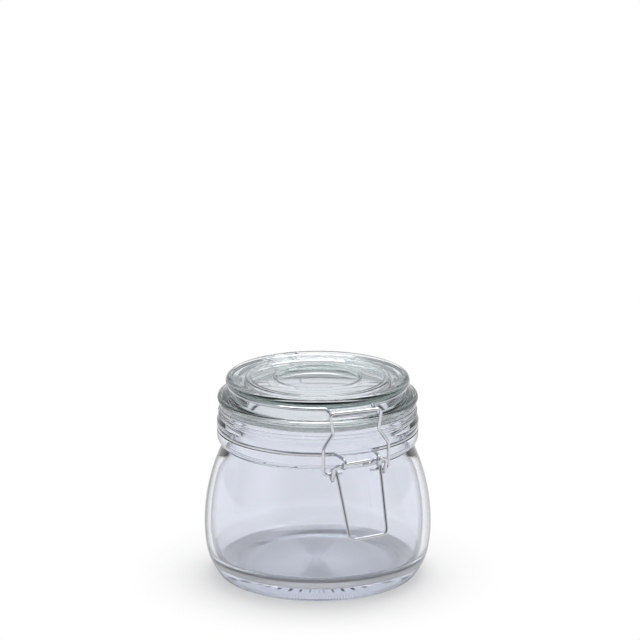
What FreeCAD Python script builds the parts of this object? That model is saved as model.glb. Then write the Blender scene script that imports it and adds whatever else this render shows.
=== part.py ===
import FreeCAD, Part
import Sketcher
import math
import os

from FreeCAD import Placement, Rotation, Vector

# Clip-top storage jar: a round glass jar with a dished glass lid, a rubber gasket
# between them and a wire clip. Millimetres, +Z up. The origin is the centre of the
# foot, on the surface that the jar stands on. The clip is at -Y and the hinge at +Y.

SIZES = {
    # the two overall sizes: the belly's radius and the height of the jar's rim
    "belly_radius": 55,
    "rim_height": 84.2,
    # jar glass, outside, from the foot up; insets are counted from the belly's radius
    "foot_inset": 9.5,
    "heel_inset": 6.5,
    "heel_height": 1.6,
    "heel_round": 3.4,
    "lower_arc": 27,
    "lower_inset": 0.92,
    "lower_height": 14,
    "belly_height": 25,
    "shoulder_inset": 7.7,
    "shoulder_drop": 3.3,
    "neck_inset": 8.1,
    "neck_drop": 19.4,
    "bead_inset": 6.4,
    "bead_round": 1.4,
    "bead_drop": 6.8,
    "collar_inset": 1.1,
    "collar_drop": 4.8,
    "rib_height": 0.4,
    "rib_pitch": 1.7,
    "rim_round": 0.9,
    # jar glass, inside and underneath
    "wall": 3.2,
    "rim_width": 5.5,
    "throat_drop": 17.2,
    "floor_height": 6.6,
    "floor_inset": 13.5,
    "floor_rise": 0.8,
    "foot_width": 5,
    "kick_inset": 11.5,
    "kick_height": 2.2,
    "kick_rise": 1.0,
    # lid glass, heights counted from the underside of its flange
    "flange_overhang": 0.8,
    "flange_height": 1.8,
    "flange_crown": 1.6,
    "cone_inset": 4.8,
    "cone_top": 5.9,
    "groove_rise": 1.1,
    "disc_overhang": 0.8,
    "disc_seat": 0.05,
    "disc_foot": 1.15,
    "disc_crown": 2.6,
    "dish_inset": 5.7,
    "dish_depth": 1.1,
    "well_radius": 20.7,
    "well_bead": 0.6,
    "well_depth": 1.2,
    "plug_depth": 2.8,
    "plug_width": 4.2,
    "lid_hollow": 5.0,
    # gasket
    "gasket_thickness": 2.0,
    "gasket_inset": 0.2,
    # wire and its fits
    "wire_radius": 0.8,
    "seat_gap": 0.1,
    "plug_gap": 1.6,
    # neck wire; reaches are counted from the neck's bead
    "neck_wire_drop": 10.7,
    "eye_spacing": 17.2,
    "eye_reach_out": 9.9,
    "eye_play": 1.2,
    "eye_length": 4.3,
    "eye_slack": 0.05,
    "eye_lead": 2.9,
    "eye_run": 2.03,
    "staple_side": 3.8,
    "staple_bend": 2.0,
    "hinge_reach_out": 5.4,
    "hinge_drop": 0.2,
    # lid wire; reaches are counted from the lid's flange
    "tab_width": 21.4,
    "tab_reach_out": 1.0,
    "tab_drop": 1.65,
    "tab_lead": 2.6,
    "tab_run": 1.8,
    "tab_bend": 1.9,
    "hinge_eye_spacing": 10.4,
    "hinge_gap": 0.1,
    "hinge_neck_out": 1.5,
    "hinge_lead": 3.8,
    "hinge_run": 2.2,
    "hinge_bend": 2.0,
    "curl_turn": 243,
    "curl_tail": 0.9,
    "leave_bend": 1.8,
    # lever
    "crank_side": 4.7,
    "crank_bend": 3.4,
    "coil_gap": 0.9,
    "coil_clear": 1.26,
    "coil_drop": 8.6,
    "coil_play": 0.9,
    "handle_inset": 1.4,
    "handle_clearance": 6.5,
    "handle_drop": 29.4,
    "handle_round": 2.6,
    "long_end_reach": 1.5,
    "short_end": 1.2,
    "end_bend": 1.6,
    # clasp loop
    "clasp_foot_side": 1.5,
    "clasp_knee_drop": 6.7,
    "clasp_waist_inset": 5.05,
    "clasp_waist_rise": 0.4,
    "clasp_bar_side": 0.7,
    "clasp_lead": 0.4,
    "clasp_play": 0.06,
    "clasp_end": 7.2,
    "foot_bend": 1.8,
    "knee_bend": 5.0,
    "waist_bend": 3.2,
    "bar_bend": 1.6,
}

# Sizes that follow from the sheet's, each written once.
TIED = {
    "foot_radius": "belly_radius - foot_inset",
    "heel_radius": "belly_radius - heel_inset",
    "belly_arc": "((belly_height - lower_height)^2 + lower_inset^2) / (2 * lower_inset)",
    "neck_height": "rim_height - neck_drop",
    "shoulder_height": "neck_height - shoulder_drop",
    "shoulder_rise": "shoulder_height - belly_height",
    "shoulder_arc": "(shoulder_rise^2 + shoulder_inset^2) / (2 * shoulder_inset)",
    "neck_radius": "belly_radius - neck_inset",
    "bead_radius": "belly_radius - bead_inset",
    "bead_top": "rim_height - bead_drop",
    "collar_radius": "bead_radius - collar_inset",
    "collar_foot": "rim_height - collar_drop",
    "mouth_radius": "collar_radius - rim_width",
    "throat_height": "rim_height - throat_drop",
    "floor_radius": "foot_radius - floor_inset",
    "kick_radius": "foot_radius - kick_inset",
    "flange_radius": "collar_radius + flange_overhang",
    "flange_top": "flange_height + flange_crown",
    "cone_radius": "flange_radius - cone_inset",
    "lid_ring_radius": "cone_radius - wire_radius",
    "groove_height": "cone_top + wire_radius + groove_rise",
    "disc_under": "groove_height + wire_radius + seat_gap + disc_seat",
    "disc_height": "disc_under + disc_foot",
    "disc_round": "disc_height + disc_crown",
    "disc_radius": "cone_radius + disc_overhang",
    "dish_radius": "disc_radius - dish_inset",
    "gasket_outer": "collar_radius - gasket_inset",
    "neck_wire_height": "rim_height - neck_wire_drop",
    "eye_drop": "4 * wire_radius + eye_play",
    "eye_bend": "eye_drop / 2 - eye_slack",
    "eye_reach": "bead_radius + eye_reach_out",
    "eye_return": "eye_reach - eye_length",
    "staple_width": "hinge_eye_spacing + 2 * staple_side",
    "hinge_reach": "bead_radius + hinge_reach_out",
    "hinge_height": "rim_height - hinge_drop",
    "tab_reach": "flange_radius + tab_reach_out",
    "hinge_neck": "flange_radius + hinge_neck_out",
    "crank_width": "eye_spacing + 2 * crank_side",
    "coil_width": "crank_width - 2 * (2 * wire_radius + coil_gap)",
    "coil_radius": "2 * wire_radius + coil_play",
    "coil_side": "sqrt(bead_radius^2 - (crank_width / 2)^2)",
    "coil_reach": "coil_side + 3 * wire_radius + coil_clear",
    "coil_height": "neck_wire_height - coil_drop",
    "handle_width": "coil_width - 2 * handle_inset",
    "handle_reach": "belly_radius + handle_clearance",
    "handle_height": "coil_height - handle_drop",
    "clasp_foot_width": "crank_width + 2 * (2 * wire_radius + clasp_foot_side)",
    "clasp_knee": "rim_height - clasp_knee_drop",
    "clasp_waist": "clasp_foot_width - 2 * clasp_waist_inset",
    "clasp_waist_height": "rim_height + clasp_waist_rise",
    "clasp_width": "tab_width + 2 * (2 * wire_radius + clasp_bar_side)",
    "clasp_lift": "2 * wire_radius + clasp_play",
}

# A curl is drawn as this many arcs, each a little tighter than the curl so that
# straight runs join them.
CURL_ARCS = 5
CURL_EASE = 0.97

doc = FreeCAD.newDocument("ClipTopJar")

sheet = doc.addObject("Spreadsheet::Sheet", "Sizes")
for row, (alias, number) in enumerate(SIZES.items(), start=1):
    sheet.set(f"A{row}", alias)
    sheet.set(f"B{row}", str(number))
    sheet.setAlias(f"B{row}", alias)
doc.recompute()


def size(expression):
    """The value of an expression of the sheet's aliases, such as 'rim_height - wall'."""
    return float(sheet.evalExpression(bound(expression)))


def bound(expression):
    """The expression with each tied size written out, and each alias written as a
    reference to the sheet."""
    words = []
    word = ""
    for letter in expression + " ":
        if letter.isalnum() or letter in "_.":
            word += letter
            continue
        if word in TIED:
            word = f"({bound(TIED[word])})"
        words.append(f"Sizes.{word}" if word in SIZES else word)
        words.append(letter)
        word = ""
    return "".join(words).strip()


# ---------------------------------------------------------------- turned pieces


def arc_between(start, end, radius):
    """An arc from start to end that bulges to the right of the way from start to end,
    or to the left where the radius is negative."""
    half = (end - start) * 0.5
    side = Vector(half.y, -half.x, 0).normalize()
    bulge = 1 if radius > 0 else -1
    drop = math.sqrt(radius**2 - half.Length**2)
    middle = start + half - side * drop * bulge
    crown = middle + side * abs(radius) * bulge
    return Part.Arc(start, crown, end)


def turned(name, outline):
    """A Body turned about Z from a closed outline of (radius, height, arc) corners. Each
    corner is a pair of expressions, and arc is the expression of the radius of the arc
    that leads to the next corner, or None for a straight side."""
    body = doc.addObject("PartDesign::Body", name)
    body.Label = name
    sketch = body.newObject("Sketcher::SketchObject", name + "_outline")
    plane = [f for f in body.Origin.OriginFeatures if f.Role == "XZ_Plane"][0]
    sketch.AttachmentSupport = [(plane, "")]
    sketch.MapMode = "FlatFace"
    corners = [Vector(size(r), size(z), 0) for r, z, _ in outline]
    for index, (_, _, arc) in enumerate(outline):
        start = corners[index]
        end = corners[(index + 1) % len(corners)]
        if arc is None:
            sketch.addGeometry(Part.LineSegment(start, end), False)
        else:
            sketch.addGeometry(arc_between(start, end, size(arc)), False)
    ends = []
    for index, corner in enumerate(corners):
        if sketch.getPoint(index, 1).distanceToPoint(corner) < 1e-6:
            ends.append((1, 2))
        else:
            ends.append((2, 1))
    for index, (first, last) in enumerate(ends):
        following = (index + 1) % len(corners)
        sketch.addConstraint(
            Sketcher.Constraint("Coincident", index, last, following, ends[following][0])
        )
    for index, (r, z, arc) in enumerate(outline):
        first = ends[index][0]
        pin(sketch, "DistanceX", index, first, r, corners[index].x, -2)
        pin(sketch, "DistanceY", index, first, z, corners[index].y, -1)
        if arc is not None:
            number = sketch.addConstraint(
                Sketcher.Constraint("Radius", index, abs(size(arc)))
            )
            sketch.setExpression(f"Constraints[{number}]", bound(f"abs({arc})"))
    turn = body.newObject("PartDesign::Revolution", name + "_turned")
    turn.Profile = sketch
    turn.ReferenceAxis = (sketch, ["V_Axis"])
    turn.Angle = 360
    sketch.Visibility = False
    return body


def pin(sketch, kind, geometry, point, expression, value, axis):
    """Holds a corner at an expression's distance from the origin, or on the axis at 0."""
    if expression == "0":
        sketch.addConstraint(Sketcher.Constraint("PointOnObject", geometry, point, axis))
        return
    number = sketch.addConstraint(Sketcher.Constraint(kind, -1, 1, geometry, point, value))
    sketch.setExpression(f"Constraints[{number}]", bound(expression))


def on_arc(crown, arc, level, height):
    """The radius, at a height, of an arc whose greatest radius is crown at level."""
    return f"{crown} - ({arc}) + sqrt(({arc})^2 - ({height} - {level})^2)"


def wire_groove(radius, height):
    """Corners of a round groove, from below up, that holds a ring of wire whose middle
    line has the radius, with its gap on every side."""
    half = "(wire_radius + seat_gap)"
    return [
        (radius, f"{height} - {half}", f"-1 * {half}"),
        (f"{radius} - {half}", height, f"-1 * {half}"),
        (radius, f"{height} + {half}", None),
    ]


def make_jar_glass():
    outline = [
        ("kick_radius", "kick_height", None),
        ("foot_radius - foot_width", "0", None),
        ("foot_radius", "0", "heel_round"),
        ("heel_radius", "heel_height", "lower_arc"),
        ("belly_radius - lower_inset", "lower_height", "belly_arc"),
        ("belly_radius", "belly_height", "shoulder_arc"),
        ("belly_radius - shoulder_inset", "shoulder_height", None),
        ("neck_radius", "neck_height", None),
        ("bead_radius - bead_round", "neck_height", "bead_round"),
        ("bead_radius", "neck_height + bead_round", None),
    ]
    half = "(wire_radius + seat_gap)"
    outline += [("bead_radius", f"neck_wire_height - {half}", None)]
    outline += wire_groove("bead_radius - wire_radius", "neck_wire_height")
    outline += [
        ("bead_radius", f"neck_wire_height + {half}", None),
        ("bead_radius", "bead_top", None),
        ("collar_radius", "collar_foot", None),
    ]
    for rib in range(2):
        foot = f"collar_foot + rib_height + {rib} * rib_pitch"
        outline += [
            ("collar_radius", foot, "rib_height"),
            ("collar_radius + rib_height", f"{foot} + rib_height", "rib_height"),
            ("collar_radius", f"{foot} + 2 * rib_height", None),
        ]
    outline += [
        ("collar_radius", "rim_height - rim_round", "rim_round"),
        ("collar_radius - rim_round", "rim_height", None),
        ("mouth_radius + rim_round", "rim_height", "rim_round"),
        ("mouth_radius", "rim_height - rim_round", None),
        ("mouth_radius", "throat_height", None),
        (
            on_arc("belly_radius - wall", "shoulder_arc - wall", "belly_height", "shoulder_height"),
            "shoulder_height",
            "wall - shoulder_arc",
        ),
        ("belly_radius - wall", "belly_height", "wall - belly_arc"),
        (
            on_arc("belly_radius - wall", "belly_arc - wall", "belly_height", "lower_height"),
            "lower_height",
            "wall - lower_arc",
        ),
        ("heel_radius - wall", "floor_height + wall / 2", None),
        ("floor_radius", "floor_height", None),
        ("0", "floor_height + floor_rise", None),
        ("0", "kick_height + kick_rise", None),
    ]
    return turned("jar_glass", outline)


def make_lid_glass():
    outline = [
        ("mouth_radius - plug_gap - plug_width", "-1 * plug_depth", None),
        ("mouth_radius - plug_gap", "-1 * plug_depth", None),
        ("mouth_radius - plug_gap", "0", None),
        ("flange_radius - flange_height", "0", "flange_height"),
        ("flange_radius", "flange_height", "flange_top - flange_height"),
        ("flange_radius - (flange_top - flange_height)", "flange_top", None),
        ("cone_radius", "cone_top", None),
    ]
    outline += wire_groove("lid_ring_radius", "groove_height")
    outline += [
        ("disc_radius - (disc_height - disc_under)", "disc_under", "disc_height - disc_under"),
        ("disc_radius", "disc_height", "disc_round - disc_height"),
        ("disc_radius - (disc_round - disc_height)", "disc_round", None),
        ("dish_radius", "disc_round - dish_depth", None),
        ("well_radius + well_bead", "disc_round - dish_depth", "well_bead"),
        ("well_radius", "disc_round - dish_depth + well_bead", "well_bead"),
        ("well_radius - well_bead", "disc_round - dish_depth", None),
        ("well_radius - well_bead - well_depth / 2", "disc_round - dish_depth - well_depth", None),
        ("0", "disc_round - dish_depth - well_depth", None),
        ("0", "lid_hollow", None),
        ("mouth_radius - plug_gap - plug_width - lid_hollow / 2", "lid_hollow", None),
    ]
    body = turned("lid_glass", outline)
    body.setExpression("Placement.Base.z", bound("rim_height + gasket_thickness"))
    return body


def make_gasket():
    inner = "mouth_radius - plug_gap + seat_gap"
    lip = "gasket_thickness / 4"
    outline = [
        (inner, "0", None),
        (f"gasket_outer - {lip}", "0", lip),
        ("gasket_outer", lip, None),
        ("gasket_outer", f"gasket_thickness - {lip}", lip),
        (f"gasket_outer - {lip}", "gasket_thickness", None),
        (inner, "gasket_thickness", None),
    ]
    body = turned("gasket", outline)
    body.setExpression("Placement.Base.z", bound("rim_height"))
    return body


# ---------------------------------------------------------------- bent wires


def front(across, reach, height):
    """A point on the clip's side, reach from the jar's axis along -Y."""
    return Vector(across, -reach, height)


def rear(across, reach, height):
    """A point on the hinge's side, reach from the jar's axis along +Y."""
    return Vector(across, reach, height)


def mirrored(points):
    """The points on the other side of the plane X = 0, in the reverse order."""
    return [Vector(-p.x, p.y, p.z) for p in reversed(points)]


def bent(points, radii):
    """Edges of straight runs between the points, with a tangent arc at each corner."""
    edges = []
    here = points[0]
    for before, corner, after, radius in zip(points, points[1:], points[2:], radii):
        back = (before - corner).normalize()
        onward = (after - corner).normalize()
        half_turn = (math.pi - back.getAngle(onward)) / 2
        start = corner + back * radius * math.tan(half_turn)
        end = corner + onward * radius * math.tan(half_turn)
        inward = (back + onward).normalize()
        middle = corner + inward * (radius / math.cos(half_turn) - radius)
        edges.append(Part.LineSegment(here, start).toShape())
        edges.append(Part.Arc(start, middle, end).toShape())
        here = end
    edges.append(Part.LineSegment(here, points[-1]).toShape())
    return edges


def ring_point(radius, height, across, side):
    """The point of a ring at a distance across from the plane X = 0, on side -1 (the
    clip's) or 1 (the hinge's)."""
    return Vector(across, side * math.sqrt(radius**2 - across**2), height)


def leave_ring(radius, height, across, side, lead):
    """Where a wire leaves its ring, and the end of its tangent run towards X = 0."""
    point = ring_point(radius, height, across, side)
    tangent = Vector(-point.y, point.x, 0).normalize()
    if tangent.x * across > 0:
        tangent = -tangent
    return point, point + tangent * lead


def curl(centre, radius, heading_in, heading_out, across_in, across_out):
    """Corners (across, reach, height) round a centre (reach, height) whose arcs make a
    clockwise turn of the radius, from one heading to another, stepping sideways."""
    turn = (heading_in - heading_out) / CURL_ARCS
    corners = []
    for index in range(CURL_ARCS):
        heading = heading_in - turn * (index + 0.5)
        distance = radius / math.cos(turn / 2)
        share = (index + 0.5) / CURL_ARCS
        corners.append(
            (
                across_in + (across_out - across_in) * share,
                centre[0] - distance * math.sin(heading),
                centre[1] + distance * math.cos(heading),
            )
        )
    return corners


def heading_to_curl(start, centre, radius):
    """Heading from start along the tangent that leaves the centre on its right."""
    away = math.atan2(centre[1] - start[1], centre[0] - start[0])
    return away + math.asin(radius / math.dist(start, centre))


def heading_from_curl(centre, radius, end):
    """Heading towards end along the tangent that has the centre on its right."""
    away = math.atan2(end[1] - centre[1], end[0] - centre[0])
    return away - math.asin(radius / math.dist(centre, end))


def wire(name, edges):
    """A round wire swept along a path of runs and arcs."""
    path = doc.addObject("Part::Feature", name + "_path")
    path.Shape = Part.Wire(edges)
    start = edges[0].valueAt(edges[0].FirstParameter)
    direction = edges[0].tangentAt(edges[0].FirstParameter)
    section = doc.addObject("Part::Circle", name + "_section")
    section.setExpression("Radius", bound("wire_radius"))
    section.Placement = Placement(start, Rotation(Vector(0, 0, 1), direction))
    swept = doc.addObject("Part::Sweep", name)
    swept.Label = name
    swept.Sections = [section]
    swept.Spine = (path, [f"Edge{n}" for n in range(1, len(path.Shape.Edges) + 1)])
    swept.Solid = True
    swept.Frenet = False
    return swept


def make_neck_wire():
    """One wire round the jar's groove: at the hinge it rises as a staple, and each end
    stands out on the clip's side and turns down and back as an eye for the lever."""
    radius = size("bead_radius - wire_radius")
    height = size("neck_wire_height")
    eye = size("eye_spacing / 2")
    lead = size("eye_lead")
    leave, run = leave_ring(radius, height, -(eye + lead), -1, size("eye_run"))
    eye_points = [
        front(-eye, size("eye_return"), height - size("eye_drop")),
        front(-eye, size("eye_reach"), height - size("eye_drop")),
        front(-eye, size("eye_reach"), height),
        run,
        leave,
    ]
    bends = [size("eye_bend"), size("eye_bend"), size("staple_bend")]
    half = size("staple_width / 2")
    back, back_run = leave_ring(radius, height, -(half + lead), 1, size("eye_run"))
    reach = size("hinge_reach")
    staple = [
        back,
        back_run,
        rear(-half, reach, height),
        rear(-half, reach, size("hinge_height")),
    ]
    bend = size("staple_bend")
    edges = bent(eye_points, bends)
    edges.append(Part.Arc(leave, Vector(-radius, 0, height), back).toShape())
    edges += bent(staple + mirrored(staple), [bend] * 6)
    far_back = mirrored([back])[0]
    far_leave = mirrored([leave])[0]
    edges.append(Part.Arc(far_back, Vector(radius, 0, height), far_leave).toShape())
    edges += bent(mirrored(eye_points), bends[::-1])
    return wire("neck_wire", edges)


def make_lid_wire():
    """One wire round the lid's groove: a straight tab for the clasp stands out over the
    flange, and each end goes over the flange at the back and curls round the staple."""
    radius = size("lid_ring_radius")
    height = size("rim_height + gasket_thickness + groove_height")
    tab = size("tab_width / 2")
    lead = size("tab_lead")
    leave, run = leave_ring(radius, height, -(tab + lead), -1, size("tab_run"))
    tab_points = [leave, run, front(-tab, size("tab_reach"), height - size("tab_drop"))]
    across = -size("hinge_eye_spacing / 2")
    lead = size("hinge_lead")
    back, back_run = leave_ring(radius, height, across - lead, 1, size("hinge_run"))
    neck = (size("hinge_neck"), height - size("tab_drop / 4"))
    pin_axis = (size("hinge_reach"), size("hinge_height"))
    eye_radius = size("2 * wire_radius + hinge_gap")
    heading = heading_to_curl(neck, pin_axis, eye_radius)
    final = heading - math.radians(size("curl_turn"))
    corners = curl(pin_axis, eye_radius, heading, final, across, across)
    tail = size("curl_tail")
    end = (
        across,
        corners[-1][1] + tail * math.cos(final),
        corners[-1][2] + tail * math.sin(final),
    )
    eye_points = [back, back_run, rear(across, *neck)]
    eye_points += [rear(*c) for c in corners] + [rear(*end)]
    eye_bends = [size("leave_bend"), size("hinge_bend")]
    eye_bends += [CURL_EASE * eye_radius] * CURL_ARCS
    edges = bent(eye_points[::-1], eye_bends[::-1])
    edges.append(Part.Arc(back, Vector(-radius, 0, height), leave).toShape())
    tab_bends = [size("leave_bend"), size("tab_bend")]
    edges += bent(tab_points + mirrored(tab_points), tab_bends + tab_bends[::-1])
    far_leave = mirrored([leave])[0]
    far_back = mirrored([back])[0]
    edges.append(Part.Arc(far_leave, Vector(radius, 0, height), far_back).toShape())
    edges += bent(mirrored(eye_points)[::-1], eye_bends)
    return wire("lid_wire", edges)


def lever_axis():
    """The middle of the eyes, where the lever's two ends turn: (reach, height)."""
    return (size("eye_reach - eye_bend"), size("neck_wire_height - eye_drop / 2"))


def lever_skew():
    """How far askew the lever hangs, by the play that its ends have in the eyes."""
    play = size("eye_drop / 2 - 2 * wire_radius - seat_gap")
    return math.asin(play / size("eye_spacing / 2"))


def make_lever():
    """One wire: each end turns in an eye, then bends down and coils once round the foot
    of the clasp loop, and between the coils it is the handle."""
    axis = lever_axis()
    coil = (size("coil_reach"), size("coil_height"))
    radius = size("coil_radius")
    handle = (size("handle_reach"), size("handle_height"))
    outer = size("crank_width / 2")
    inner = size("coil_width / 2")
    corners = curl(
        coil,
        radius,
        heading_to_curl(axis, coil, radius) + 2 * math.pi,
        heading_from_curl(coil, radius, handle),
        -outer,
        -inner,
    )
    drop = size("2 * wire_radius + seat_gap")
    inside = size("eye_spacing / 2 - wire_radius - 2 * seat_gap") - drop / 2
    half = [front(-outer, *axis)] + [front(*c) for c in corners]
    half.append(front(-size("handle_width / 2"), *handle))
    long_end = [front(inside - size("long_end_reach") * drop, *axis)]
    short_end = [
        front(inside, *axis),
        front(inside - drop, axis[0], axis[1] - drop),
        front(size("short_end"), axis[0], axis[1] - drop),
    ]
    bends = [size("crank_bend")] + [CURL_EASE * radius] * CURL_ARCS + [size("handle_round")]
    end_bends = [size("end_bend")] * 2
    points = long_end + half + mirrored(half) + short_end
    turn = Rotation(Vector(0, -1, 0), math.degrees(lever_skew()))
    middle = front(0, *axis)
    points = [middle + turn.multVec(p - middle) for p in points]
    return wire("lever", bent(points, bends + bends[::-1] + end_bends))


def make_clasp_loop():
    """A waisted loop whose bar hooks over the lid wire's tab, and whose two feet turn in
    through the lever's coils."""
    foot_reach = size("coil_reach")
    foot = size("coil_height")
    bar_reach = size("tab_reach + clasp_lead")
    bar = size("rim_height + gasket_thickness + groove_height - tab_drop + clasp_lift")

    def on_loop(across, height):
        share = (height - foot) / (bar - foot)
        return front(across, foot_reach + (bar_reach - foot_reach) * share, height)

    half = [
        on_loop(-size("clasp_end"), foot),
        on_loop(-size("clasp_foot_width / 2"), foot),
        on_loop(-size("clasp_foot_width / 2"), size("clasp_knee")),
        on_loop(-size("clasp_waist / 2"), size("clasp_waist_height")),
        on_loop(-size("clasp_width / 2"), bar),
    ]
    bends = [size(bend) for bend in ("foot_bend", "knee_bend", "waist_bend", "bar_bend")]
    return wire("clasp_loop", bent(half + mirrored(half), bends + bends[::-1]))


# ---------------------------------------------------------------- the document

pieces = [
    make_jar_glass(),
    make_neck_wire(),
    make_lid_glass(),
    make_gasket(),
    make_lid_wire(),
    make_lever(),
    make_clasp_loop(),
]
doc.recompute()

for item in doc.Objects:
    if "Invalid" in item.State or "Error" in item.State:
        raise RuntimeError(f"{item.Label} failed: {item.State}")
for piece in pieces:
    if piece.Shape.isNull() or not piece.Shape.isValid():
        raise RuntimeError(f"{piece.Label} has no valid shape")

os.makedirs("parts", exist_ok=True)
for piece in pieces:
    piece.Shape.exportStep(f"parts/{piece.Label}.step")
    print(piece.Label, round(piece.Shape.Volume), len(piece.Shape.Solids))
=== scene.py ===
import math

import bpy
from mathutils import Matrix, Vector, noise


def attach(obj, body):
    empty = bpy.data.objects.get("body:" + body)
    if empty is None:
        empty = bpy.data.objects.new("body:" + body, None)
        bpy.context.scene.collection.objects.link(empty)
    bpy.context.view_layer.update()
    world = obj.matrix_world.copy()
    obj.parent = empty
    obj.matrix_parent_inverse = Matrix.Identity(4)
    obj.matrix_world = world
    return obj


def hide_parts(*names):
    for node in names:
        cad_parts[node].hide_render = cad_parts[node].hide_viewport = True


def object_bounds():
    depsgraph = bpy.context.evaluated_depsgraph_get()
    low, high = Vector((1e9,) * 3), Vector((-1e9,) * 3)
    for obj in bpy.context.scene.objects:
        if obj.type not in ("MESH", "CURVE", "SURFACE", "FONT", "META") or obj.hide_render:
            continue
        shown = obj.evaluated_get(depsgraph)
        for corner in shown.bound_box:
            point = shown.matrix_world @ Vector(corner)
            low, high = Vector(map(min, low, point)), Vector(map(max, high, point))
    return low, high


MM = 0.001
SEGMENTS = 256
ARC_STEP = math.radians(4)
ARC_LENGTH = 3
SHARP = math.radians(14)
CORNER_SHARE = 0.42
CORNER_STEP = math.radians(18)

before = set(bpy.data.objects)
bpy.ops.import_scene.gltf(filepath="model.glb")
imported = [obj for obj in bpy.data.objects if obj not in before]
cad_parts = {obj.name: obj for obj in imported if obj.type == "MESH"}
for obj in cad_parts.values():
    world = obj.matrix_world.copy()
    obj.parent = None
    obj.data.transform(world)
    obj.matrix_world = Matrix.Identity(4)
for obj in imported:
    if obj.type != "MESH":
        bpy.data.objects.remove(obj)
cad_box = [list(corner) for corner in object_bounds()]

# ---------------------------------------------------------------- turned shapes


def arc_points(start, end, radius):
    """Points along an arc from start to end, without its end. It bulges to the right of
    the way from start to end, or to the left where the radius is negative."""
    way = end - start
    side = Vector((way.y, -way.x)).normalized()
    bulge = 1 if radius > 0 else -1
    drop = math.sqrt(max(radius**2 - (way.length / 2) ** 2, 0))
    middle = start + way / 2 - side * drop * bulge
    first = start - middle
    turn = first.angle_signed(end - middle)
    by_angle = math.ceil(abs(turn) / ARC_STEP)
    by_length = math.ceil(way.length / ARC_LENGTH)
    count = max(2, by_angle, by_length)
    points = []
    for index in range(count):
        angle = -turn * index / count
        points.append(
            middle
            + Vector(
                (
                    first.x * math.cos(angle) - first.y * math.sin(angle),
                    first.x * math.sin(angle) + first.y * math.cos(angle),
                )
            )
        )
    return points


def rounded(points, radius):
    """The polyline with every sharp corner rounded by an arc of about the radius."""
    result = [points[0]]
    for before, corner, after in zip(points, points[1:], points[2:]):
        back = before - corner
        onward = after - corner
        turn = math.pi - back.angle(onward)
        if turn < SHARP:
            result.append(corner)
            continue
        reach = min(
            radius * math.tan(turn / 2),
            CORNER_SHARE * back.length,
            CORNER_SHARE * onward.length,
        )
        first = corner + back.normalized() * reach
        last = corner + onward.normalized() * reach
        steps = max(2, math.ceil(turn / CORNER_STEP))
        for index in range(steps + 1):
            share = index / steps
            result.append(
                first * (1 - share) ** 2
                + corner * 2 * share * (1 - share)
                + last * share**2
            )
    result.append(points[-1])
    return result


def outline_points(corners, lift=0):
    """Points in metres from (radius, height, arc radius) corners in millimetres."""
    points = []
    for index, (radius, height, arc) in enumerate(corners):
        here = Vector((radius, height))
        following = corners[(index + 1) % len(corners)]
        there = Vector((following[0], following[1]))
        if arc is None:
            points.append(here)
        else:
            points += arc_points(here, there, arc)
    return [Vector((p.x * MM, (p.y + lift) * MM)) for p in points]


def lathe(name, points, closed, ripple=None):
    """A mesh turned about Z. An open outline starts and ends on the axis."""
    verts = []
    rows = []
    for point in points:
        if point.x < 1e-7:
            rows.append([len(verts)])
            verts.append((0, 0, point.y))
            continue
        rows.append(list(range(len(verts), len(verts) + SEGMENTS)))
        for step in range(SEGMENTS):
            angle = 2 * math.pi * step / SEGMENTS
            radius = point.x
            height = point.y
            if ripple:
                radius, height = ripple(radius, height, angle)
            verts.append((radius * math.cos(angle), radius * math.sin(angle), height))
    faces = []
    pairs = list(zip(rows, rows[1:]))
    if closed:
        pairs.append((rows[-1], rows[0]))
    for low, high in pairs:
        for step in range(SEGMENTS):
            after = (step + 1) % SEGMENTS
            if len(low) == 1 and len(high) == 1:
                continue
            if len(low) == 1:
                faces.append((low[0], high[after], high[step]))
            elif len(high) == 1:
                faces.append((low[step], low[after], high[0]))
            else:
                faces.append((low[step], low[after], high[after], high[step]))
    mesh = bpy.data.meshes.new(name)
    mesh.from_pydata(verts, [], faces)
    mesh.polygons.foreach_set("use_smooth", [True] * len(mesh.polygons))
    mesh.validate()
    obj = bpy.data.objects.new(name, mesh)
    bpy.context.scene.collection.objects.link(obj)
    return obj


def on_arc(crown, arc, level, height):
    """The radius, at a height, of an arc whose greatest radius is crown at level."""
    return crown - arc + math.copysign(math.sqrt(arc**2 - (height - level) ** 2), arc)


# Sizes in millimetres, heights above the floor unless said otherwise.
WIRE = 0.8
SEAT = 0.1
GROOVE = WIRE + SEAT
WALL = 3.2
BELLY = 55
LEVEL = 25
SHOULDER_ARC = 90.36
BELLY_ARC = 66.22
LOWER = 14
HEEL = 48.5
HEEL_LEVEL = 1.6
HEEL_ROUND = 3.4
LOWER_ARC = 27
FOOT = 45.5
FOOT_INSIDE = 40.5
KICK = 34
KICK_LEVEL = 2.2
KICK_RISE = 1.0
BEAD = 48.6
BEAD_LOW = 64.9
BEAD_FOOT = 69.6
BEAD_ARC = 5.8
BEAD_TOP = 77.4
NECK_WIRE_LEVEL = 73.5
COLLAR = 47.5
COLLAR_FOOT = 79.4
RIB = 0.4
RIB_FEET = (79.8, 81.5)
RIM = 84.2
RIM_ROUND = 0.9
MOUTH = 42
THROAT_LOW = 57
THROAT_STEPS = 12
FLOOR = 6.6
FLOOR_RADIUS = 32
FLOOR_RISE = 0.8
PLUG = 1.6
GASKET = 2.0
AIR = 0.02

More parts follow.
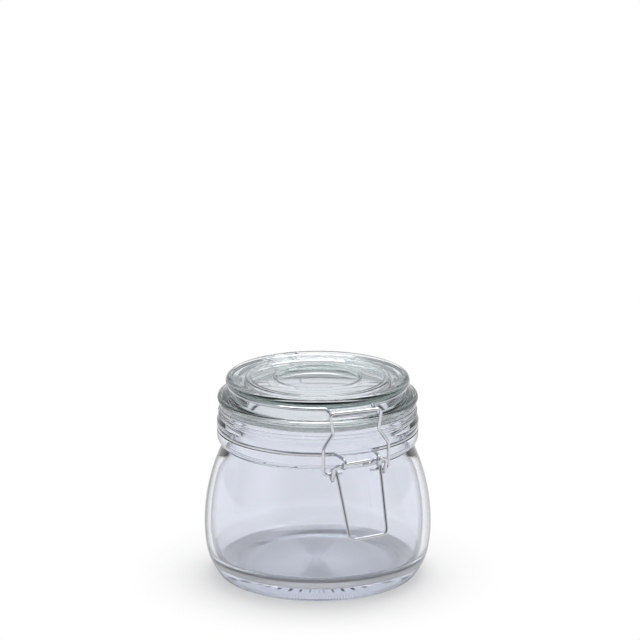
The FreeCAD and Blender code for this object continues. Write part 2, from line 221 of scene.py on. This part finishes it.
# The lid, with heights above the top of the gasket.
PLUG_WALL = 4.2
PLUG_SLOPE = 2.5
PLUG_DEPTH = 2.8
LID_UNDERSIDE = 5.0
FLANGE = 48.3
FLANGE_ROUND = 1.8
FLANGE_TOP = 3.4
FLANGE_TOP_ROUND = 1.6
CONE_TOP = (43.5, 5.9)
LID_WIRE = (42.7, 7.8)
LID_EDGE = (43.15, 8.75, 1.15)
LID_SIDE = (44.3, 9.9, 2.6)
LID_SHOULDER = (41.7, 12.5)
DISC = 38.6
DISC_LEVEL = 11.4
OUTER_RING = (34.2, 0.5, 0.4)
INNER_RING = (32.0, 0.4, 0.3)
WELL_RIDGE = 20.7
RIDGE_ROUND = 0.6
WELL = 19.8
WELL_LEVEL = 10.2

JAR_EDGE = 0.7
LID_EDGE_ROUND = 0.6


def dome(radius, rise):
    """The arc radius of a shallow dome."""
    return (radius**2 + rise**2) / (2 * rise)


def groove(radius, height):
    return [
        (radius, height - GROOVE, -GROOVE),
        (radius - GROOVE, height, -GROOVE),
        (radius, height + GROOVE, None),
    ]


def throat_curve():
    """The smooth curve from the mouth down into the shoulder's inside."""
    inside = on_arc(BELLY - WALL, SHOULDER_ARC - WALL, LEVEL, THROAT_LOW)
    low = Vector((inside, THROAT_LOW))
    lean = (THROAT_LOW - LEVEL) / (low.x - BELLY + SHOULDER_ARC)
    bend = Vector((MOUTH, THROAT_LOW + (low.x - MOUTH) / lean))
    high = Vector((MOUTH, bend.y + (bend - low).length))
    points = []
    for step in range(THROAT_STEPS):
        share = step / THROAT_STEPS
        point = high * (1 - share) ** 2 + bend * 2 * share * (1 - share) + low * share**2
        points.append((point.x, point.y, None))
    return points, low


def jar_outline():
    throat, low = throat_curve()
    lower_inside = on_arc(BELLY - WALL, BELLY_ARC - WALL, LEVEL, LOWER)
    corners = [
        (0, KICK_LEVEL + KICK_RISE, -dome(KICK, KICK_RISE)),
        (KICK, KICK_LEVEL, None),
        (FOOT_INSIDE, 0, None),
        (FOOT, 0, HEEL_ROUND),
        (HEEL, HEEL_LEVEL, LOWER_ARC),
        (on_arc(BELLY, BELLY_ARC, LEVEL, LOWER), LOWER, BELLY_ARC),
        (BELLY, LEVEL, SHOULDER_ARC),
        (on_arc(BELLY, SHOULDER_ARC, LEVEL, BEAD_LOW), BEAD_LOW, BEAD_ARC),
        (BEAD, BEAD_FOOT, None),
        (BEAD, NECK_WIRE_LEVEL - GROOVE, None),
        *groove(BEAD - WIRE, NECK_WIRE_LEVEL),
        (BEAD, NECK_WIRE_LEVEL + GROOVE, None),
        (BEAD, BEAD_TOP, None),
        (COLLAR, COLLAR_FOOT, None),
    ]
    for foot in RIB_FEET:
        corners += [
            (COLLAR, foot, RIB),
            (COLLAR + RIB, foot + RIB, RIB),
            (COLLAR, foot + 2 * RIB, None),
        ]
    corners += [
        (COLLAR, RIM - RIM_ROUND, RIM_ROUND),
        (COLLAR - RIM_ROUND, RIM, None),
        (MOUTH + RIM_ROUND, RIM, RIM_ROUND),
        (MOUTH, RIM - RIM_ROUND, None),
        *throat,
        (low.x, low.y, WALL - SHOULDER_ARC),
        (BELLY - WALL, LEVEL, WALL - BELLY_ARC),
        (lower_inside, LOWER, WALL - LOWER_ARC),
        (HEEL - WALL, FLOOR + WALL / 2, None),
        (FLOOR_RADIUS, FLOOR, dome(FLOOR_RADIUS, FLOOR_RISE)),
        (0, FLOOR + FLOOR_RISE, None),
    ]
    return corners


def lid_ring(middle, half, rise):
    """A low pressed ring on the lid's disc, from its outer foot inwards."""
    return [
        (middle + half, DISC_LEVEL, None),
        (middle, DISC_LEVEL + rise, None),
        (middle - half, DISC_LEVEL, None),
    ]


def lid_outline():
    plug = MOUTH - PLUG
    return [
        (0, LID_UNDERSIDE, None),
        (plug - PLUG_WALL - PLUG_SLOPE, LID_UNDERSIDE, None),
        (plug - PLUG_WALL, -PLUG_DEPTH, None),
        (plug, -PLUG_DEPTH, None),
        (plug, 0, None),
        (FLANGE - FLANGE_ROUND, 0, FLANGE_ROUND),
        (FLANGE, FLANGE_ROUND, FLANGE_TOP_ROUND),
        (FLANGE - FLANGE_TOP_ROUND, FLANGE_TOP, None),
        (*CONE_TOP, None),
        *groove(*LID_WIRE),
        LID_EDGE,
        LID_SIDE,
        (*LID_SHOULDER, None),
        (DISC, DISC_LEVEL, None),
        *lid_ring(*OUTER_RING),
        *lid_ring(*INNER_RING),
        (WELL_RIDGE + RIDGE_ROUND, DISC_LEVEL, RIDGE_ROUND),
        (WELL_RIDGE, DISC_LEVEL + RIDGE_ROUND, RIDGE_ROUND),
        (WELL_RIDGE - RIDGE_ROUND, DISC_LEVEL, None),
        (WELL, WELL_LEVEL, None),
        (0, WELL_LEVEL, None),
    ]


def on_arc_inside(height):
    """The inner wall's radius at a height, both in metres."""
    arc = SHOULDER_ARC if height / MM > LEVEL else BELLY_ARC
    return on_arc(BELLY - WALL, arc - WALL, LEVEL, height / MM) * MM


RIPPLE = 0.22 * MM
RIPPLE_NEAR = 1.2 * MM
RIPPLE_LOW = 0.012
RIPPLE_LOW_FADE = 0.012
RIPPLE_HIGH = 0.060
RIPPLE_HIGH_FADE = 0.008
RIPPLE_AROUND = 1.7
RIPPLE_UP = 22


def jar_ripple(radius, height, angle):
    """Pressed glass: the inner wall isn't quite even."""
    if height < RIPPLE_LOW or abs(radius - on_arc_inside(height)) > RIPPLE_NEAR:
        return radius, height
    rise = (height - RIPPLE_LOW) / RIPPLE_LOW_FADE
    fall = max(0, (RIPPLE_HIGH - height) / RIPPLE_HIGH_FADE)
    around = Vector((math.cos(angle), math.sin(angle), 0)) * RIPPLE_AROUND
    place = around + Vector((0, 0, height * RIPPLE_UP))
    return radius + RIPPLE * min(1, rise, fall) * noise.noise(place), height


jar_shape = rounded(outline_points(jar_outline()), JAR_EDGE * MM)
lid_shape = rounded(outline_points(lid_outline(), RIM + GASKET), LID_EDGE_ROUND * MM)
jar = lathe("jar_glass_turned", jar_shape, False, jar_ripple)
lid = lathe("lid_glass_turned", lid_shape, False)

RING_OUTSIDE = 47.3
RING_ROUND = 0.5
ring = [
    (MOUTH - PLUG + SEAT, AIR, None),
    (RING_OUTSIDE - RING_ROUND, AIR, RING_ROUND),
    (RING_OUTSIDE, RING_ROUND + AIR, None),
    (RING_OUTSIDE, GASKET - RING_ROUND - AIR, RING_ROUND),
    (RING_OUTSIDE - RING_ROUND, GASKET - AIR, None),
    (MOUTH - PLUG + SEAT, GASKET - AIR, None),
]
gasket = lathe("gasket_turned", outline_points(ring, RIM), True)

for piece, body, node, slot in (
    (jar, "jar", "jar_glass", "jar_glass"),
    (lid, "lid", "lid_glass", "lid_glass"),
    (gasket, "lid", "gasket", "gasket"),
):
    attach(piece, body)
    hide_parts(node)

# ---------------------------------------------------------------- materials


def material(name):
    made = bpy.data.materials.new(name)
    made.use_nodes = True
    return made, made.node_tree.nodes, made.node_tree.links


# Painted shade on the glass: its base colour turns near black where the surface is seen
# edge-on, painting dark rims.
RIM_PAINTED_SHADE = (0.02, 0.02, 0.03, 1)
RIM_SHADE_START = 0.68
RIM_SHADE_END = 0.86
RIB_COUNT = 220
RIB_TOP = 0.0048
RIB_FULL = 0.0022


def foot_ribs(nodes, links, place, under, count):
    """Fine ribs pressed around the foot, added to the normal of another bump."""
    parts = nodes.new("ShaderNodeSeparateXYZ")
    links.new(place.outputs["Object"], parts.inputs[0])
    around = nodes.new("ShaderNodeMath")
    around.operation = "ARCTAN2"
    links.new(parts.outputs["Y"], around.inputs[0])
    links.new(parts.outputs["X"], around.inputs[1])
    turns = nodes.new("ShaderNodeMath")
    turns.operation = "MULTIPLY"
    turns.inputs[1].default_value = count
    links.new(around.outputs[0], turns.inputs[0])
    wave = nodes.new("ShaderNodeMath")
    wave.operation = "SINE"
    links.new(turns.outputs[0], wave.inputs[0])
    low = nodes.new("ShaderNodeMapRange")
    low.interpolation_type = "SMOOTHSTEP"
    low.inputs["From Min"].default_value = RIB_TOP
    low.inputs["From Max"].default_value = RIB_FULL
    links.new(parts.outputs["Z"], low.inputs["Value"])
    height = nodes.new("ShaderNodeMath")
    height.operation = "MULTIPLY"
    links.new(wave.outputs[0], height.inputs[0])
    links.new(low.outputs[0], height.inputs[1])
    bump = nodes.new("ShaderNodeBump")
    bump.inputs["Strength"].default_value = 0.6
    bump.inputs["Distance"].default_value = 0.0002
    links.new(height.outputs[0], bump.inputs["Height"])
    links.new(under.outputs["Normal"], bump.inputs["Normal"])
    return bump.outputs["Normal"]


def glass(name, colour, tint, density, ribs=0):
    made, nodes, links = material(name)
    shader = nodes["Principled BSDF"]
    # Painted shade: the base colour runs from the glass colour to near black as the
    # surface turns edge-on.
    rim_shade_facing = nodes.new("ShaderNodeLayerWeight")
    ramp = nodes.new("ShaderNodeValToRGB")
    ramp.color_ramp.elements[0].position = RIM_SHADE_START
    ramp.color_ramp.elements[0].color = (*colour, 1)
    ramp.color_ramp.elements[1].position = RIM_SHADE_END
    ramp.color_ramp.elements[1].color = RIM_PAINTED_SHADE
    links.new(rim_shade_facing.outputs["Facing"], ramp.inputs["Fac"])
    links.new(ramp.outputs["Color"], shader.inputs["Base Color"])
    shader.inputs["Roughness"].default_value = 0.0
    shader.inputs["IOR"].default_value = 1.5
    shader.inputs["Transmission Weight"].default_value = 1.0
    place = nodes.new("ShaderNodeTexCoord")
    ripple = nodes.new("ShaderNodeTexNoise")
    ripple.inputs["Scale"].default_value = 40
    ripple.inputs["Detail"].default_value = 1
    bump = nodes.new("ShaderNodeBump")
    bump.inputs["Strength"].default_value = 0.06
    bump.inputs["Distance"].default_value = 0.001
    links.new(place.outputs["Object"], ripple.inputs["Vector"])
    links.new(ripple.outputs["Fac"], bump.inputs["Height"])
    if ribs:
        links.new(foot_ribs(nodes, links, place, bump, ribs), shader.inputs["Normal"])
    else:
        links.new(bump.outputs["Normal"], shader.inputs["Normal"])
    depth = nodes.new("ShaderNodeVolumeAbsorption")
    depth.inputs["Color"].default_value = (*tint, 1)
    depth.inputs["Density"].default_value = density
    links.new(depth.outputs[0], nodes["Material Output"].inputs["Volume"])
    return made


JAR_COLOUR = (0.87, 0.885, 0.935)
JAR_DEPTH = (0.25, 0.30, 0.45)
LID_COLOUR = (0.95, 0.965, 0.965)
LID_DEPTH = (0.25, 0.42, 0.40)
jar_clear = glass("jar_glass_clear", JAR_COLOUR, JAR_DEPTH, 6, RIB_COUNT)
lid_clear = glass("lid_glass_clear", LID_COLOUR, LID_DEPTH, 16)
jar.data.materials.append(jar_clear)
lid.data.materials.append(lid_clear)

rubber, nodes, links = material("gasket_rubber")
shader = nodes["Principled BSDF"]
shader.inputs["Base Color"].default_value = (0.82, 0.86, 0.88, 1)
shader.inputs["Roughness"].default_value = 0.35
shader.inputs["Transmission Weight"].default_value = 0.5
shader.inputs["IOR"].default_value = 1.42
gasket.data.materials.append(rubber)

steel, nodes, links = material("wire_steel")
shader = nodes["Principled BSDF"]
shader.inputs["Base Color"].default_value = (0.62, 0.63, 0.66, 1)
shader.inputs["Metallic"].default_value = 1.0
shader.inputs["Roughness"].default_value = 0.06
for node in ("neck_wire", "lid_wire", "lever", "clasp_loop"):
    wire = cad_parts[node]
    for place in wire.material_slots:
        place.material = steel

# ---------------------------------------------------------------- stage and light

TURN = math.radians(-21)
PALE = (0.955, 0.97, 1.0)


def around_front(nodes, links, socket, stops):
    """A ramp by the angle between a direction and the front, 0 at the front and 1 at the
    back, the same on both sides."""
    turned = nodes.new("ShaderNodeVectorRotate")
    turned.rotation_type = "Z_AXIS"
    turned.inputs["Angle"].default_value = -TURN
    parts = nodes.new("ShaderNodeSeparateXYZ")
    side = nodes.new("ShaderNodeMath")
    side.operation = "ABSOLUTE"
    front = nodes.new("ShaderNodeMath")
    front.operation = "MULTIPLY"
    front.inputs[1].default_value = -1
    angle = nodes.new("ShaderNodeMath")
    angle.operation = "ARCTAN2"
    share = nodes.new("ShaderNodeMath")
    share.operation = "DIVIDE"
    share.inputs[1].default_value = math.pi
    ramp = nodes.new("ShaderNodeValToRGB")
    links.new(socket, turned.inputs["Vector"])
    links.new(turned.outputs[0], parts.inputs[0])
    links.new(parts.outputs["X"], side.inputs[0])
    links.new(parts.outputs["Y"], front.inputs[0])
    links.new(side.outputs[0], angle.inputs[0])
    links.new(front.outputs[0], angle.inputs[1])
    links.new(angle.outputs[0], share.inputs[0])
    links.new(share.outputs[0], ramp.inputs["Fac"])
    ramp.color_ramp.interpolation = "B_SPLINE"
    elements = ramp.color_ramp.elements
    elements.remove(elements[-1])
    elements[0].position = stops[0][0] / 180
    for degrees, _ in stops[1:]:
        elements.new(degrees / 180)
    for element, (_, level) in zip(elements, stops):
        element.color = (*[level * part for part in PALE], 1)
    return ramp.outputs["Color"]


def seen_by(nodes, links, rays):
    """1 for a ray from the camera, off a mirror or through glass."""
    first = nodes.new("ShaderNodeMath")
    first.operation = "MAXIMUM"
    links.new(rays.outputs["Is Camera Ray"], first.inputs[0])
    links.new(rays.outputs["Is Glossy Ray"], first.inputs[1])
    second = nodes.new("ShaderNodeMath")
    second.operation = "MAXIMUM"
    links.new(first.outputs[0], second.inputs[0])
    links.new(rays.outputs["Is Transmission Ray"], second.inputs[1])
    return second.outputs[0]


# Painted white glow mixed into the floor: its share is least within the first radius and
# full beyond the second, so the floor is painted darker round the jar and its shadow fades
# out further away.
PAINTED_GLOW_NEAR = 0.45
PAINTED_GLOW_FAR = 1.0
PAINTED_GLOW_RISE_START = 0.045
PAINTED_GLOW_RISE_END = 0.10


def floor_material():
    """A pale floor. What sees it, directly, mirrored or through glass, sees it mixed with
    a painted white glow, the same for each. The glow's share is least near the middle and
    full further out, so the floor is painted darker round the jar; the object's shadow
    shows near the jar and fades out away from it."""
    made, nodes, links = material("floor_white")
    shader = nodes["Principled BSDF"]
    shader.inputs["Base Color"].default_value = (0.8, 0.8, 0.8, 1)
    shader.inputs["Roughness"].default_value = 0.9
    shader.inputs["Specular IOR Level"].default_value = 0.0
    rays = nodes.new("ShaderNodeLightPath")
    place = nodes.new("ShaderNodeTexCoord")
    reach = nodes.new("ShaderNodeVectorMath")
    reach.operation = "LENGTH"
    links.new(place.outputs["Object"], reach.inputs[0])
    painted_glow_share = nodes.new("ShaderNodeMapRange")
    painted_glow_share.interpolation_type = "SMOOTHSTEP"
    painted_glow_share.inputs["From Min"].default_value = PAINTED_GLOW_RISE_START
    painted_glow_share.inputs["From Max"].default_value = PAINTED_GLOW_RISE_END
    painted_glow_share.inputs["To Min"].default_value = PAINTED_GLOW_NEAR
    painted_glow_share.inputs["To Max"].default_value = PAINTED_GLOW_FAR
    links.new(reach.outputs["Value"], painted_glow_share.inputs["Value"])
    share = nodes.new("ShaderNodeMath")
    share.operation = "MULTIPLY"
    links.new(seen_by(nodes, links, rays), share.inputs[0])
    links.new(painted_glow_share.outputs[0], share.inputs[1])
    painted_glow = nodes.new("ShaderNodeEmission")
    painted_glow.inputs["Color"].default_value = (1, 1, 1, 1)
    painted_glow.inputs["Strength"].default_value = 1.0
    both = nodes.new("ShaderNodeMixShader")
    links.new(share.outputs[0], both.inputs[0])
    links.new(shader.outputs[0], both.inputs[1])
    links.new(painted_glow.outputs[0], both.inputs[2])
    links.new(both.outputs[0], nodes["Material Output"].inputs["Surface"])
    return made


bpy.ops.mesh.primitive_plane_add(size=8, location=(0, 0, cad_box[0][2]))
floor = bpy.context.object
floor.name = "floor"
floor.data.materials.append(floor_material())

ROOM = [
    (0, 0.10),
    (34, 0.12),
    (50, 0.75),
    (64, 1.00),
    (80, 0.85),
    (96, 0.35),
    (118, 0.45),
    (140, 0.95),
    (180, 1.00),
]
ROOM_TOP = (0.85, 0.85, 0.85, 1)


def studio():
    """One room for all that lights the object: white behind it, a soft box at each side,
    a dark front. The camera itself sees plain white."""
    world = bpy.data.worlds.new("studio")
    bpy.context.scene.world = world
    world.use_nodes = True
    nodes = world.node_tree.nodes
    links = world.node_tree.links
    nodes.clear()
    out = nodes.new("ShaderNodeOutputWorld")
    rays = nodes.new("ShaderNodeLightPath")
    place = nodes.new("ShaderNodeTexCoord")
    parts = nodes.new("ShaderNodeSeparateXYZ")
    links.new(place.outputs["Generated"], parts.inputs[0])
    rise = nodes.new("ShaderNodeMapRange")
    rise.interpolation_type = "SMOOTHSTEP"
    rise.inputs["From Min"].default_value = 0.70
    rise.inputs["From Max"].default_value = 0.92
    links.new(parts.outputs["Z"], rise.inputs["Value"])
    blend = nodes.new("ShaderNodeMix")
    blend.data_type = "RGBA"
    blend.inputs[7].default_value = ROOM_TOP
    links.new(rise.outputs[0], blend.inputs["Factor"])
    around = around_front(nodes, links, place.outputs["Generated"], ROOM)
    links.new(around, blend.inputs[6])
    room = nodes.new("ShaderNodeBackground")
    room.inputs["Strength"].default_value = 1.0
    links.new(blend.outputs[2], room.inputs["Color"])
    white = nodes.new("ShaderNodeBackground")
    white.inputs["Color"].default_value = (1, 1, 1, 1)
    white.inputs["Strength"].default_value = 1.0
    mixed = nodes.new("ShaderNodeMixShader")
    links.new(rays.outputs["Is Camera Ray"], mixed.inputs[0])
    links.new(room.outputs[0], mixed.inputs[1])
    links.new(white.outputs[0], mixed.inputs[2])
    links.new(mixed.outputs[0], out.inputs["Surface"])


studio()


def lamp(name, around, height, distance, width, power):
    data = bpy.data.lights.new(name, "AREA")
    data.shape = "RECTANGLE"
    data.size = width
    data.size_y = width
    data.energy = power
    obj = bpy.data.objects.new(name, data)
    angle = TURN + math.radians(around)
    obj.location = (
        math.sin(angle) * distance,
        -math.cos(angle) * distance,
        height,
    )
    obj.rotation_mode = "QUATERNION"
    obj.rotation_quaternion = (
        obj.location - Vector((0, 0, 0.05))
    ).to_track_quat("Z", "Y")
    bpy.context.scene.collection.objects.link(obj)
    return obj


lamp("top_soft", 165, 1.5, 0.5, 1.1, 15)

# ---------------------------------------------------------------- camera

DISTANCE = 1.734
ELEVATION = math.radians(17.68)
MIDDLE = 0.049
LENS = 201.3
AIM = 0.12583
SIDE = 0.001113

camera_data = bpy.data.cameras.new("camera")
camera_data.lens = LENS
camera_data.sensor_width = 36
camera = bpy.data.objects.new("camera", camera_data)
bpy.context.scene.collection.objects.link(camera)
bpy.context.scene.camera = camera
back = Vector(
    (
        math.sin(TURN) * math.cos(ELEVATION),
        -math.cos(TURN) * math.cos(ELEVATION),
        math.sin(ELEVATION),
    )
)
camera.location = Vector((0, 0, MIDDLE)) + back * DISTANCE
aim = Vector((0, 0, AIM)) + Vector((math.cos(TURN), math.sin(TURN), 0)) * SIDE
camera.rotation_mode = "QUATERNION"
camera.rotation_quaternion = (camera.location - aim).to_track_quat("Z", "Y")

view = bpy.context.scene.view_settings
view.view_transform = "Standard"
